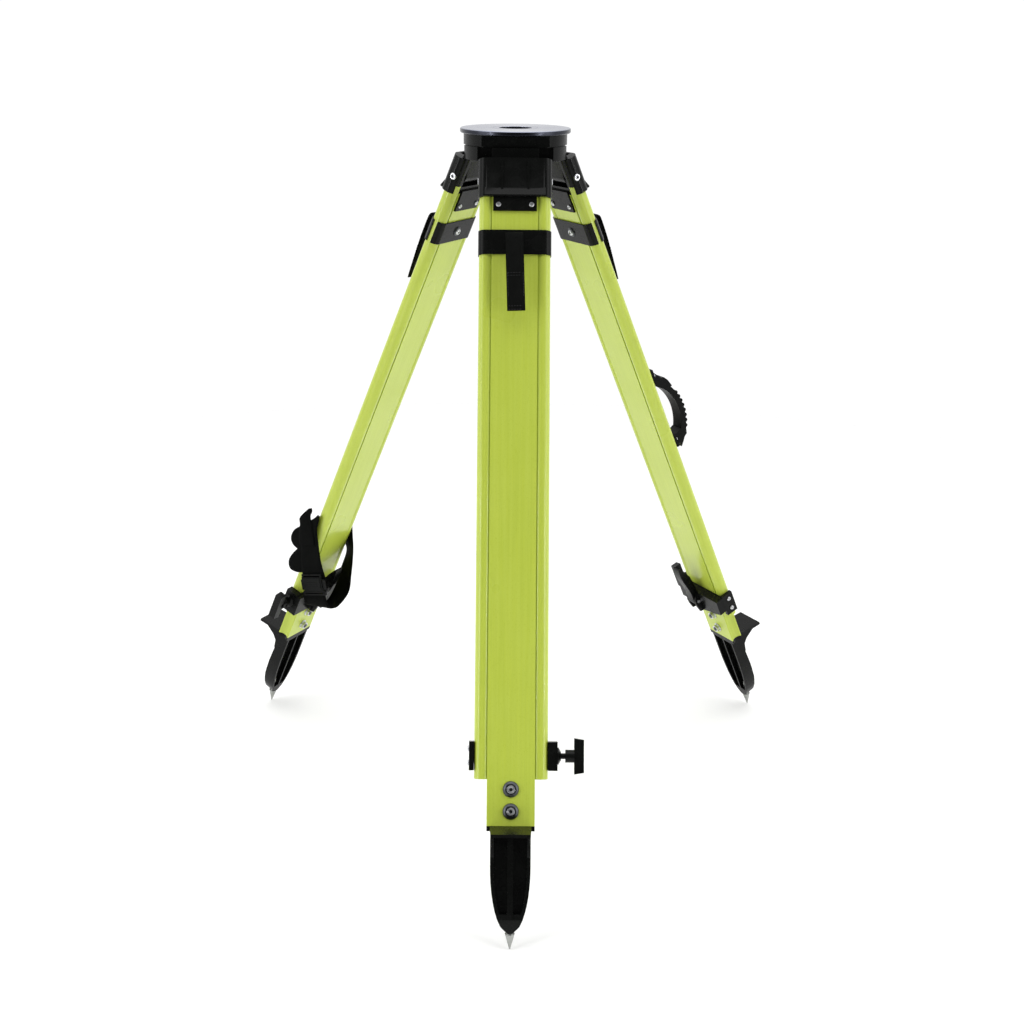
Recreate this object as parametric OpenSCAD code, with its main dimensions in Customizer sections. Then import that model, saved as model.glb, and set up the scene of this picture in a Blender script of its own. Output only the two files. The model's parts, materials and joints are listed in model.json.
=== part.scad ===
// Surveyor tripod: round head on three folding legs, each with a sliding lower leg.
// Millimetres. The origin is the centre of the head's top face, +Z up, legs spread as in use.
// Each leg is drawn in its own frame: +X out of its outer face, +Y along its width, +Z up the leg,
// with zero where the leg's centre line meets the plane of the head's top face. A "station" is a
// distance down that line.

/* [Head] */
// Diameter of the machined head plate
head_d = 165; // [150:1:180]
// Thickness of the head plate
head_t = 7; // [6:0.5:9]
// Bore through the head plate
head_bore_d = 49; // [40:1:60]
// Diameter of the fixing screw's thread, 5/8 inch
stud_d = 15.88; // [15.88:0.01:15.88]

/* [Stance] */
// Angle of each leg from the vertical
leg_tilt = 24.3; // [22:0.1:26]
// Distance of the leg's centre line from the axis, at the head's top face
leg_root = 44.5; // [43:0.5:46]

/* [Upper leg] */
// Overall width of the two rails
leg_w = 103.5; // [102:0.5:106]
// Outer diameter of each rail tube
tube_d = 22; // [21:0.5:23]
// Wall of each rail tube
tube_wall = 2.5; // [2:0.5:4]
// Station of the rails' lower end
rail_end = 936; // [930:1:960]

/* [Lower leg] */
// Width of the sliding lower leg
lower_w = 67; // [64:0.5:68]
// Thickness of the sliding lower leg
lower_t = 21; // [20:0.5:21]
// Wall of the sliding lower leg
lower_wall = 3.2; // [2.5:0.1:4]
// Station of its lower end, where the foot begins
lower_end = 1000; // [995:1:1010]

/* [Hinge] */
// Station of the hinge pin
pin_at = 78; // [76:1:80]
// Diameter of the hinge pin
pin_d = 10; // [8:0.5:12]

/* [Clamp] */
// Station of the clamp's middle
clamp_at = 904; // [900:1:908]
// Length of the clamp along the leg
clamp_l = 40; // [36:1:44]

/* [Foot] */
// Width of the foot casting
foot_w = 56.4; // [54:0.2:60]
// Width of the pedal's outer edge
pedal_w = 55; // [50:1:58]
// How far the pedal reaches out from the leg's centre plane
pedal_reach = 58.5; // [50:0.5:62]
// Length of the bare spike
spike_l = 23; // [20:1:26]

/* [Hidden] */
$fn = 96;
LEG_AZIMUTH = [-90, 150, 30];
FRONT = 0;
LEFT = 1;
RIGHT = 2;

tube_r = tube_d / 2;
tube_y = leg_w / 2 - tube_r;
half_w = leg_w / 2;
half_t = lower_t / 2;
scoop_r = tube_r + 0.4;
pin_r = pin_d / 2;
run_gap = 0.06;

tier_h = 16;
body_bottom = 44;
body_r = 78;
flat_x = 60;
pocket_x = 51;
arm_pivot = 38;
lug_half = 34;
lug_r = 12;

cap_top = 47;
cap_end = 104;
cap_floor = 93;
cap_r = 13;
cap_x = 2.5;
cap_slot = lug_half + 0.6;
cap_wall_x = 12.7;
tongue_half = 31.5;
tongue_end = 125;
inner_tongue_end = 133;
plate_t = 3.2;

band_top = 153;
band_l = 36;
band_r = 12.8;
band_in_r = 11.2;
spacer_end = 186;
lower_top = 188.5;
tab_w = 26;
tab_skew = 1.9;
tab_x = 22;

wall_y = 52.1;
bridge_x = -22;
housing_x = -28;
lever_y = 10;
lever_w = 18;
ear_t = 3.8;
cam_x = -31;
cam_at = 904;
cam_r = 3;
screw_r = 4;
shoe_t = 4;

bolt_stations = [949.5, 980];
bolt_gap = 0.1;
handle_s = 538;
handle_x = -26;
handle_r = 92;
handle_t = 10;
handle_w = 24;
handle_pads = [430, 555];
pad_l = 25;

leg_black = [0.12, 0.12, 0.12];
fibreglass = [0.72, 0.79, 0.29];

// ---------- helpers ----------

// Puts children, drawn in a leg's frame, on that leg
module on_leg(i)
    rotate([0, 0, LEG_AZIMUTH[i]])
        translate([leg_root, 0, 0])
            rotate([0, -leg_tilt, 0]) children();

// Moves children down the leg to a station
module at_station(s) translate([0, 0, -s]) children();

// A cylinder along the leg's width, from y0 to y1, at depth x and station s
module cross_rod(r, y0, y1, x, s)
    translate([x, y0, -s]) rotate([-90, 0, 0]) cylinder(r = r, h = y1 - y0);

// A cylinder through the leg's thickness, from x0 to x1
module through_rod(r, x0, x1, y, s, sides = 96)
    translate([x0, y, -s]) rotate([0, 90, 0]) cylinder(r = r, h = x1 - x0, $fn = sides);

// A block from corner to corner; its stations run from s0 down to s1
module block(x0, x1, y0, y1, s0, s1)
    translate([x0, y0, -s1]) cube([x1 - x0, y1 - y0, s1 - s0]);

// An outline drawn as [depth, station] points, extruded across the leg from y0 to y1
module side_plate(points, y0, y1)
    translate([0, y1, 0]) rotate([90, 0, 0])
        linear_extrude(y1 - y0) polygon([for (p = points) [p[0], -p[1]]]);

// Outline round both rails at radius r
module rails_outline(r) {
    for (side = [-1, 1]) translate([0, side * tube_y]) circle(r = r);
    translate([-r, -tube_y]) square([2 * r, 2 * tube_y]);
}

// The lower leg's section: a flat box scooped out to nest against the rails
module nested_section(width, thick)
    difference() {
        square([thick, width], center = true);
        for (side = [-1, 1]) translate([0, side * tube_y]) circle(r = scoop_r);
    }

// Pan head with a cross recess, its underside at depth 0, pointing along +X
module pan_head(r, h)
    rotate([0, 90, 0]) difference() {
        union() {
            cylinder(r = r, h = 0.45 * h);
            translate([0, 0, 0.45 * h]) cylinder(r1 = r, r2 = 0.72 * r, h = 0.55 * h);
        }
        for (turn = [0, 90]) rotate([0, 0, turn])
            translate([-0.55 * r, -0.13 * r, 0.5 * h]) cube([1.1 * r, 0.26 * r, h]);
    }

// ---------- head ----------

module head_plate()
    color("silver") rotate_extrude($fn = 128)
        polygon([[head_bore_d / 2, 0], [head_d / 2 - 1.5, 0], [head_d / 2, -1.5],
            [head_d / 2, -4.5], [head_d / 2 - 2.5, -head_t], [33, -head_t], [33, -head_t + 1],
            [head_bore_d / 2, -head_t + 1]]);

module leg_pocket()
    translate([pocket_x, -55.5, -body_bottom - 1]) cube([40, 111, body_bottom - head_t - tier_h]);

module head_lug()
    union() {
        barrel = [leg_root + pin_at * sin(leg_tilt), -pin_at * cos(leg_tilt)];
        translate([0, lug_half, 0]) rotate([90, 0, 0]) linear_extrude(2 * lug_half) {
            translate(barrel) circle(r = lug_r);
            polygon([[46, -24], [66.5, -24], [68.5, -40], [barrel[0] + lug_r - 1.2, barrel[1] + 5],
                [barrel[0] + 4, barrel[1] - 4], [barrel[0] - lug_r + 0.6, barrel[1] - 3],
                [57, -body_bottom - 6], [46, -body_bottom]]);
        }
    }

module head_body()
    color(leg_black) difference() {
        union() {
            difference() {
                union() {
                    translate([0, 0, -head_t - tier_h]) cylinder(r = body_r, h = tier_h);
                    translate([0, 0, -body_bottom])
                        cylinder(r = body_r + 0.5, h = body_bottom - head_t - tier_h - 1);
                    translate([0, 0, -head_t - tier_h - 1]) cylinder(r = body_r - 2, h = 1);
                }
                for (a = LEG_AZIMUTH) rotate([0, 0, a]) {
                    translate([flat_x, -50, -body_bottom - 1]) cube([40, 100, body_bottom]);
                    leg_pocket();
                }
                translate([0, 0, -body_bottom - 1]) cylinder(r = 44, h = body_bottom - head_t - 6);
                translate([0, 0, -body_bottom]) cylinder(r = 31, h = body_bottom);
                translate([0, arm_pivot, -body_bottom - 1]) cylinder(r = 12, h = body_bottom - 25);
            }
            for (a = LEG_AZIMUTH) rotate([0, 0, a]) head_lug();
            translate([0, arm_pivot, -26]) cylinder(r = 8, h = 14);
        }
        for (a = LEG_AZIMUTH) rotate([0, 0, a]) translate([leg_root, 0, 0])
            rotate([0, -leg_tilt, 0]) cross_rod(pin_r, -lug_half - 1, lug_half + 1, 0, pin_at);
        translate([0, arm_pivot, -27]) cylinder(r = 3, h = 12);
    }

// Steel pins held in the head's lugs; the caps turn on their ends
module hinge_pins()
    color("gainsboro") for (i = [FRONT, LEFT, RIGHT]) on_leg(i) difference() {
        cross_rod(pin_r, -half_w - 2.6, half_w + 2.6, 0, pin_at);
        for (side = [-1, 1]) translate([0, side * (half_w + 2.6), -pin_at]) rotate([90, 0, 0])
            cylinder(r = 2.4, h = 5, center = true, $fn = 6);
    }

module arm_bolt()
    color("gainsboro") translate([0, arm_pivot, 0]) {
        translate([0, 0, -30.2]) cylinder(r = 3, h = 15.2);
        translate([0, 0, -34]) cylinder(r = 5.5, h = 3.8, $fn = 6);
    }

// Slotted bar that carries the fixing screw under the head, pivoted on the arm bolt
module swing_arm()
    color("dimgray") translate([0, 0, -30]) difference() {
        union() {
            translate([0, arm_pivot, 0]) cylinder(r = 7, h = 3.5);
            translate([-11, -24, 0]) cube([22, 56, 3.5]);
            translate([0, -24, 0]) cylinder(r = 11, h = 3.5);
            translate([-5, 28, 0]) cube([10, 10, 3.5]);
        }
        translate([0, arm_pivot, -1]) cylinder(r = 3 + run_gap, h = 6);
        for (y = [-16, 16]) translate([0, y, -1]) cylinder(r = 8.6, h = 6);
        translate([-8.6, -16, -1]) cube([17.2, 32, 6]);
    }

// Flanged bush that slides along the arm's slot
module slot_bush()
    color("gainsboro") difference() {
        union() {
            translate([0, 0, -34]) cylinder(r = 8.5, h = 9.6);
            translate([0, 0, -26.2]) cylinder(r = 10.5, h = 2);
            translate([0, 0, -32.5]) cylinder(r = 10.5, h = 2.2);
        }
        translate([0, 0, -40]) cylinder(r = 5 + run_gap, h = 30);
    }

// Washer under the bush, which rides up and down with the screw
module screw_washer()
    color("gainsboro") difference() {
        translate([0, 0, -61.5]) cylinder(r = 11, h = 2);
        translate([0, 0, -65]) cylinder(r = 5 + run_gap, h = 8);
    }

// Fixing screw: threaded head on a plain shank that runs in the bush
module fixing_stud()
    color("gainsboro") {
        translate([0, 0, -24]) cylinder(d = stud_d, h = 14);
        translate([0, 0, -10]) cylinder(d1 = stud_d, d2 = stud_d - 2, h = 1);
        translate([0, 0, -62]) cylinder(r = 5, h = 38);
    }

module fixing_knob()
    color(leg_black) difference() {
        union() {
            translate([0, 0, -86]) cylinder(r = 17, h = 24.5);
            for (k = [0 : 11]) rotate([0, 0, 30 * k]) translate([16.4, 0, -84]) cylinder(r = 2.4, h = 20);
        }
        translate([0, 0, -87]) cylinder(r = 11, h = 15);
        translate([0, 0, -70]) cylinder(r = 5, h = 9);
    }

// ---------- upper leg ----------

module rails()
    color(fibreglass) for (side = [-1, 1]) translate([0, side * tube_y, -rail_end]) difference() {
        cylinder(r = tube_r, h = rail_end - cap_floor + 2);
        translate([0, 0, -1]) cylinder(r = tube_r - tube_wall, h = rail_end);
    }

module spacer()
    color(fibreglass) difference() {
        at_station(spacer_end) linear_extrude(spacer_end - cap_end)
            nested_section(lower_w, lower_t);
        through_rod(3, -20, 20, 0, band_top + band_l / 2);
    }

module cap_outline() {
    for (side = [-1, 1]) translate([cap_x, side * tube_y]) circle(r = cap_r);
    translate([cap_x - cap_r, -tube_y]) square([2 * cap_r, 2 * tube_y]);
}

// Hinge casting: two ears joined by a front wall, with tongues that grip the leg
module cap()
    color(leg_black) difference() {
        union() {
            at_station(cap_end) linear_extrude(cap_end - cap_top) cap_outline();
            side_plate([[12, cap_end - 13], [15.4, cap_end - 13], [20, cap_end - 1],
                [19, cap_end + 1], [12, cap_end]], -44, 44);
            block(half_t + 0.1, half_t + plate_t, -tongue_half, tongue_half, cap_end - 1, tongue_end);
            block(-half_t - plate_t, -half_t - 0.1, -tongue_half, tongue_half, cap_end - 5,
                inner_tongue_end);
            block(-half_t - plate_t, cap_x, -tongue_half + 6, tongue_half - 6, cap_end - 5, cap_end);
            for (y = [-19, 19]) block(14, 17, y - 1.5, y + 1.5, cap_top + 6, cap_end - 10);
        }
        block(-20, cap_wall_x, -cap_slot, cap_slot, cap_top - 1, cap_floor);
        block(cap_wall_x - 8, 18, -tongue_half - 2, tongue_half + 2, cap_end - 4, cap_end - 1.2);
        for (side = [-1, 1]) translate([0, side * tube_y, -cap_end - 1])
            cylinder(r = tube_r + 0.05, h = cap_end - cap_floor + 3);
        cross_rod(pin_r + run_gap, -60, 60, 0, pin_at);
    }

module pan_screw(x, y, s, out)
    translate([x, y, -s]) mirror([out < 0 ? 1 : 0, 0, 0]) pan_head(3.7, 2.4);

// Identical pan-head screws: tongue screws, clamp-plate screws and, on one leg, handle screws
module screws(with_handle)
    color("gainsboro") {
        for (side = [-1, 1]) pan_screw(half_t + plate_t, side * 24, 116, 1);
        for (side = [-1, 1]) pan_screw(-half_t - plate_t, side * 24, 124, -1);
        for (s = [clamp_at - 10, clamp_at + 10])
            translate([-2, -wall_y - 6.8, -s]) rotate([0, 0, -90]) pan_head(3.7, 2.4);
        if (with_handle) for (side = [-1, 1]) for (s = handle_pads)
            pan_screw(15, side * tube_y, s + pad_l / 2, 1);
    }

// Band round the leg, split over each face, with the boss that holds the hanging tab
module band()
    color(leg_black) difference() {
        union() {
            at_station(band_top + band_l) linear_extrude(band_l) difference() {
                rails_outline(band_r);
                rails_outline(band_in_r);
                translate([-3, -60]) square([6.5, 120]);
            }
            block(band_r - 0.6, tab_x, -10, 10, 160, 186);
        }
        through_rod(3, -20, 20, 0, band_top + band_l / 2);
        through_rod(6.6, band_r, tab_x + 1, 0, band_top + band_l / 2);
    }

module band_bolt()
    color("gainsboro") {
        through_rod(3, -13, 16, 0, band_top + band_l / 2);
        translate([-band_r, 0, -band_top - band_l / 2]) mirror([1, 0, 0]) rotate([0, 90, 0]) {
            cylinder(r = 7.5, h = 1.4);
            translate([0, 0, 1.4]) cylinder(r1 = 7.5, r2 = 4.2, h = 2.2);
        }
        through_rod(5.6, band_r, band_r + 3.4, 0, band_top + band_l / 2, 6);
    }

// Webbing tab, folded over at its top and hanging clear of the leg
module hang_tab()
    color(leg_black) translate([0, -1, -165]) rotate([tab_skew, 0, 0]) translate([0, 0, 165])
        side_plate([[tab_x, 166], [23.5, 163], [28, 160.5], [33, 161.5], [36.5, 165], [37.5, 172],
            [37.3, 206], [33.2, 262], [32.4, 277], [28.6, 277], [29.2, 262], [33.3, 206],
            [33.4, 174], [31.5, 170], [30, 174], [29.4, 204], [27.5, 211], [24.5, 212], [tab_x, 206]],
            -tab_w / 2, tab_w / 2);

// ---------- clamp ----------

clamp_s0 = clamp_at - clamp_l / 2;
clamp_s1 = clamp_at + clamp_l / 2;

// Casting round the inner side of the leg: plate, cam housing, screw block and the lever's ears
module clamp_bracket()
    color(leg_black) difference() {
        union() {
            block(-14, 8, -wall_y - 6.8, -wall_y, clamp_s0, clamp_s1);
            block(-14, 9, wall_y, 65, clamp_s0, clamp_s1);
            block(bridge_x, -tube_r - 0.3, 20, 65, clamp_s0 + 2, clamp_s1);
            translate([housing_x, 0, 0]) rotate([90, 0, 90]) linear_extrude(-tube_r - 0.3 - housing_x)
                polygon([[-wall_y - 6.8, -clamp_s0 - 2], [-wall_y - 6.8, -914], [-46, -917], [10, -927],
                    [24, -926], [27, -922], [27, -clamp_s0 - 2]]);
            cross_rod(12, 65, 66.5, 0, clamp_at);
            translate([0, 66.5, -clamp_at]) rotate([-90, 0, 0]) cylinder(r1 = 12, r2 = 6, h = 3.5);
            for (y = [lever_y - lever_w / 2 - ear_t - 0.4, lever_y + lever_w / 2 + 0.4])
                side_plate([[housing_x + 1, cam_at - 20], [cam_x - 3, cam_at - 12],
                    [cam_x - 6, cam_at - 6], [cam_x - 7, cam_at + 1], [cam_x - 6, cam_at + 10],
                    [cam_x - 3, cam_at + 21], [housing_x + 1, cam_at + 22]], y, y + ear_t);
        }
        block(housing_x - 1, -23.4, lever_y - lever_w / 2 - 0.4, lever_y + lever_w / 2 + 0.4,
            clamp_s0 - 4, cam_at + 10);
        cross_rod(screw_r + run_gap, 50, 80, 0, clamp_at);
        cross_rod(9, 50, wall_y + shoe_t + 3.6, 0, clamp_at);
        cross_rod(cam_r, -30, 50, cam_x, cam_at);
    }

// Steel pin of the cam lever
module cam_pin()
    color("gainsboro") cross_rod(cam_r, lever_y - lever_w / 2 - ear_t - 1.4,
        lever_y + lever_w / 2 + ear_t + 1.4, cam_x, cam_at);

// Cam lever, closed: a channel open to the leg, standing off it so that fingers can lift it
module cam_lever()
    color(leg_black) difference() {
        union() {
            cross_rod(7, lever_y - lever_w / 2, lever_y + lever_w / 2, cam_x, cam_at);
            side_plate([[cam_x + 6.8, cam_at - 1], [-24.4, 886], [-26, 868], [-28.3, 851], [-33, 840],
                [-38.5, 829.5], [-41.5, 824.5], [-43.8, 824.3], [-45.5, 828], [-46, 840], [-44.2, 854],
                [-40.5, 869], [-37.8, 884], [cam_x - 6.9, cam_at - 1]],
                lever_y - lever_w / 2, lever_y + lever_w / 2);
        }
        side_plate([[-41, 822], [-42.4, 830], [-42.5, 840], [-40.6, 854], [-37.2, 867], [-34.5, 876],
            [-20, 876], [-20, 822]], lever_y - lever_w / 2 + 3, lever_y + lever_w / 2 - 3);
        cross_rod(cam_r + run_gap, -30, 50, cam_x, cam_at);
    }

// Shoe that the clamp screw presses on the rail
module clamp_shoe()
    color("dimgray") cross_rod(8.6, wall_y, wall_y + shoe_t, 0, clamp_at);

// Clamp screw with its moulded T handle
module clamp_screw()
    color(leg_black) translate([0, 0, -clamp_at]) {
        translate([0, wall_y + shoe_t, 0]) rotate([-90, 0, 0]) cylinder(r = screw_r, h = 28);
        translate([0, 76, 0]) rotate([-90, 0, 0]) cylinder(r = 9, h = 12.6);
        translate([-6.5, 0, 0]) rotate([90, 0, 90]) linear_extrude(13)
            polygon([[88.4, -25], [102, -22.8], [102, 22.8], [88.4, 25]]);
    }

// ---------- lower leg and foot ----------

module lower_leg()
    color(fibreglass) difference() {
        at_station(lower_end) linear_extrude(lower_end - lower_top) difference() {
            nested_section(lower_w, lower_t);
            square([lower_t - 2 * lower_wall, 46], center = true);
        }
        for (s = bolt_stations) through_rod(4 + bolt_gap, -20, 20, 0, s);
    }

foot_end = 1148;
foot_curve = 1055;
function foot_half(s) =
    s < foot_curve ? foot_w / 2 : foot_w / 2 * sqrt(1 - pow((s - foot_curve) / 93.5, 2));
function foot_edge(inset, s_first, s_last) =
    [for (k = [0 : 9]) let (s = s_first + (s_last - s_first) * k / 9) [foot_half(s) - inset, s]];

// The foot's outline across its width, as an extrusion through its thickness
module foot_face(points, x0, x1) {
    pts = concat(points, [for (k = [len(points) - 1 : -1 : 0]) [-points[k][0], points[k][1]]]);
    translate([x0, 0, 0]) rotate([90, 0, 90]) linear_extrude(x1 - x0)
        polygon([for (p = pts) [p[0], -p[1]]]);
}

// Plan of the pedal, from the leg's face to its outer edge
function pedal_outline() = let (reach = pedal_reach - half_t + 2, root = pedal_w / 2 + 1.5)
    [[0, -root], [9, -root], [reach, -pedal_w / 2], [reach, pedal_w / 2], [9, root], [0, root]];

// Spike's own frame: its base on the foot's nose, pointing down, turned 13 degrees to the vertical
module on_nose() translate([-3.3, 0, -foot_end]) rotate([0, 13, 0]) children();

// Pocket in one face of the foot, with a rim round it and a rib down its middle
module foot_recess(rim, x0, x1, rib_half, s_end)
    difference() {
        foot_face(concat([[foot_w / 2 - rim, 1010]], foot_edge(rim, foot_curve, s_end)), x0, x1);
        block(x0 - 1, x1 + 1, -rib_half, rib_half, 1009, s_end + 1);
    }

// Cast foot: tang inside the leg, step for the boot, ribbed body
module foot()
    color(leg_black) difference() {
        union() {
            intersection() {
                foot_face(concat([[foot_w / 2, lower_end]], foot_edge(0, foot_curve, foot_end)),
                    -12, 14);
                side_plate([[half_t, lower_end], [half_t, 1040], [12, 1075], [12.4, 1107],
                    [10.5, 1128], [6.5, 1143], [3.4, foot_end], [-9.8, foot_end], [-10, 1143],
                    [-half_t, 1120], [-half_t, lower_end]], -30, 30);
            }
            at_station(lower_end + 7) linear_extrude(7) nested_section(lower_w, lower_t);
            translate([half_t - 2, 0, -lower_end]) rotate([0, 7, 0]) translate([0, 0, -4.5])
                linear_extrude(4.5) polygon(pedal_outline());
            for (y = [-pedal_w / 2 + 0.4, pedal_w / 2 - 4.4])
                side_plate([[8, 1002], [47, 1006], [23, 1018], [15, 1026], [12.6, 1040], [8, 1046]],
                    y, y + 4);
            block(-7, 7, -22.7, 22.7, 936, lower_end + 2);
        }
        foot_recess(5, 4.5, 30, 4, 1120);
        foot_recess(3.5, -30, -1.5, 1.5, 1130);
        for (s = bolt_stations) through_rod(4 + bolt_gap, -20, 20, 0, s);
        on_nose() {
            translate([0, 0, -1]) cylinder(r = 5, h = 31);
            translate([0, 0, -12]) cylinder(r = 14, h = 12);
        }
    }

module spike()
    color("gainsboro") on_nose() {
        cylinder(r = 5, h = 29);
        translate([0, 0, -spike_l]) cylinder(r1 = 0.8, r2 = 7, h = spike_l);
    }

// Bolts through the lower leg, with cup washers outside and nuts inside
module foot_bolts()
    color("gainsboro") for (s = bolt_stations) {
        difference() {
            union() {
                through_rod(4, -18, half_t + 4, 0, s);
                translate([half_t, 0, -s]) rotate([0, 90, 0]) {
                    cylinder(r1 = 11.3, r2 = 8, h = 4.4);
                    cylinder(r = 5.6, h = 5.4);
                }
            }
            through_rod(2.6, half_t + 1.6, half_t + 8, 0, s, 6);
        }
        through_rod(8.6, -half_t - 1.6, -half_t, 0, s);
        through_rod(7.2, -half_t - 7.4, -half_t - 1.6, 0, s, 6);
    }

// ---------- accessories ----------

module ring_sector(r_in, r_out, x_min)
    intersection() {
        difference() {
            circle(r = r_out);
            circle(r = r_in);
        }
        translate([x_min, -150]) square([150, 300]);
    }

// Ribbed carrying handle on two pads that bridge both rails of the right leg
module carry_handle()
    color(leg_black) {
        translate([handle_x, handle_w / 2, -handle_s]) rotate([90, 0, 0]) linear_extrude(handle_w) {
            ring_sector(handle_r - handle_t, handle_r, 37 - handle_x);
            for (k = [0 : 7]) rotate(18 - 5.9 * k) translate([handle_r - 1, 0]) circle(r = 3.6);
        }
        side_plate([[14, 422], [30, 449], [43.4, 471], [49.2, 473], [54, 481], [58, 494], [46, 498],
            [38, 488], [28, 478], [14, 456]], -handle_w / 2, handle_w / 2);
        side_plate([[14, 574], [37, 577], [46, 574], [57, 578], [54.5, 588.4], [43.1, 595.7],
            [28.8, 597], [14, 602]], -handle_w / 2, handle_w / 2);
        for (s = handle_pads) block(tube_r, 15, -46, 46, s, s + pad_l);
    }

// Ribbon of webbing through stations, each the two edge points of the ribbon at that place
module ribbon(stations, half_thick)
    for (k = [0 : len(stations) - 2]) hull()
        for (p = concat(stations[k], stations[k + 1]))
            translate([p[0], p[1], -p[2]]) sphere(r = half_thick, $fn = 8);

// Shoulder strap: a long loop hung round the left leg, with its spare length folded at the side
strap_loop = [
    [[15, 55, 730], [24, 56, 766]], [[14, 40, 734], [14, 40, 772]], [[14, -44, 742], [14, -44, 780]],
    [[13, -49, 746], [18, -51, 783]], [[2, -56, 752], [22, -56, 786]],
    [[-3, -56, 777], [18, -56, 806]], [[-16, -55, 790], [8, -56, 812]],
    [[-24, -51, 795], [-4, -57, 817]],
    [[-38.8, -28, 800], [-16, -52, 822]], [[-58, -16, 832], [-26, -36, 846]],
    [[-70.8, -6.2, 858], [-33.7, -18.8, 867]], [[-74, 21, 880], [-44, 4, 888]],
    [[-71, 40, 878], [-48, 20, 892]], [[-68, 50, 874], [-44, 50, 892]]];
strap_fold = [
    [[9, 57.5, 727], [32, 57.5, 760]], [[-1, 57.5, 768], [30, 57.5, 800]],
    [[-18, 57.5, 796], [20, 57.5, 822]], [[-38, 57.5, 816], [0, 57.5, 844]]];
strap_ends = [
    [[26, 58, 720], [36, 60, 744]], [[40, 57, 780], [30, 62, 800]], [[26, 57, 828], [20, 62, 842]]];

module shoulder_strap()
    color(leg_black) {
        ribbon(strap_loop, 1.4);
        ribbon(strap_fold, 4);
        ribbon(strap_ends, 3);
    }

// Moulded buckle that joins the fold to the loop
module strap_buckle()
    color([0.16, 0.16, 0.16]) translate([-21, 54, -842]) rotate([0, 33, 0])
        translate([-20, 0, -46]) cube([40, 7.5, 50]);

// ---------- one entry per node ----------

head_plate();
head_body();
hinge_pins();
arm_bolt();
swing_arm();
slot_bush();
screw_washer();
fixing_stud();
fixing_knob();
on_leg(FRONT) rails();  // front_rails
on_leg(FRONT) spacer();  // front_spacer
on_leg(FRONT) cap();  // front_cap
on_leg(FRONT) screws(false);  // front_screws
on_leg(FRONT) band();  // front_band
on_leg(FRONT) band_bolt();  // front_band_bolt
on_leg(FRONT) hang_tab();  // front_hang_tab
on_leg(FRONT) clamp_bracket();  // front_clamp_bracket
on_leg(FRONT) cam_pin();  // front_cam_pin
on_leg(FRONT) cam_lever();  // front_cam_lever
on_leg(FRONT) clamp_shoe();  // front_clamp_shoe
on_leg(FRONT) clamp_screw();  // front_clamp_screw
on_leg(FRONT) lower_leg();  // front_lower_leg
on_leg(FRONT) foot();  // front_foot
on_leg(FRONT) spike();  // front_spike
on_leg(FRONT) foot_bolts();  // front_foot_bolts
on_leg(LEFT) rails();  // left_rails
on_leg(LEFT) spacer();  // left_spacer
on_leg(LEFT) cap();  // left_cap
on_leg(LEFT) screws(false);  // left_screws
on_leg(LEFT) band();  // left_band
on_leg(LEFT) band_bolt();  // left_band_bolt
on_leg(LEFT) hang_tab();  // left_hang_tab
on_leg(LEFT) clamp_bracket();  // left_clamp_bracket
on_leg(LEFT) cam_pin();  // left_cam_pin
on_leg(LEFT) cam_lever();  // left_cam_lever
on_leg(LEFT) clamp_shoe();  // left_clamp_shoe
on_leg(LEFT) clamp_screw();  // left_clamp_screw
on_leg(LEFT) lower_leg();  // left_lower_leg
on_leg(LEFT) foot();  // left_foot
on_leg(LEFT) spike();  // left_spike
on_leg(LEFT) foot_bolts();  // left_foot_bolts
on_leg(RIGHT) rails();  // right_rails
on_leg(RIGHT) spacer();  // right_spacer
on_leg(RIGHT) cap();  // right_cap
on_leg(RIGHT) screws(true);  // right_screws
on_leg(RIGHT) band();  // right_band
on_leg(RIGHT) band_bolt();  // right_band_bolt
on_leg(RIGHT) hang_tab();  // right_hang_tab
on_leg(RIGHT) clamp_bracket();  // right_clamp_bracket
on_leg(RIGHT) cam_pin();  // right_cam_pin
on_leg(RIGHT) cam_lever();  // right_cam_lever
on_leg(RIGHT) clamp_shoe();  // right_clamp_shoe
on_leg(RIGHT) clamp_screw();  // right_clamp_screw
on_leg(RIGHT) lower_leg();  // right_lower_leg
on_leg(RIGHT) foot();  // right_foot
on_leg(RIGHT) spike();  // right_spike
on_leg(RIGHT) foot_bolts();  // right_foot_bolts
on_leg(RIGHT) carry_handle();
on_leg(LEFT) shoulder_strap();
on_leg(LEFT) strap_buckle();
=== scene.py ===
import json
import math

import bmesh
import bpy
from mathutils import Matrix, Vector


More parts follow.
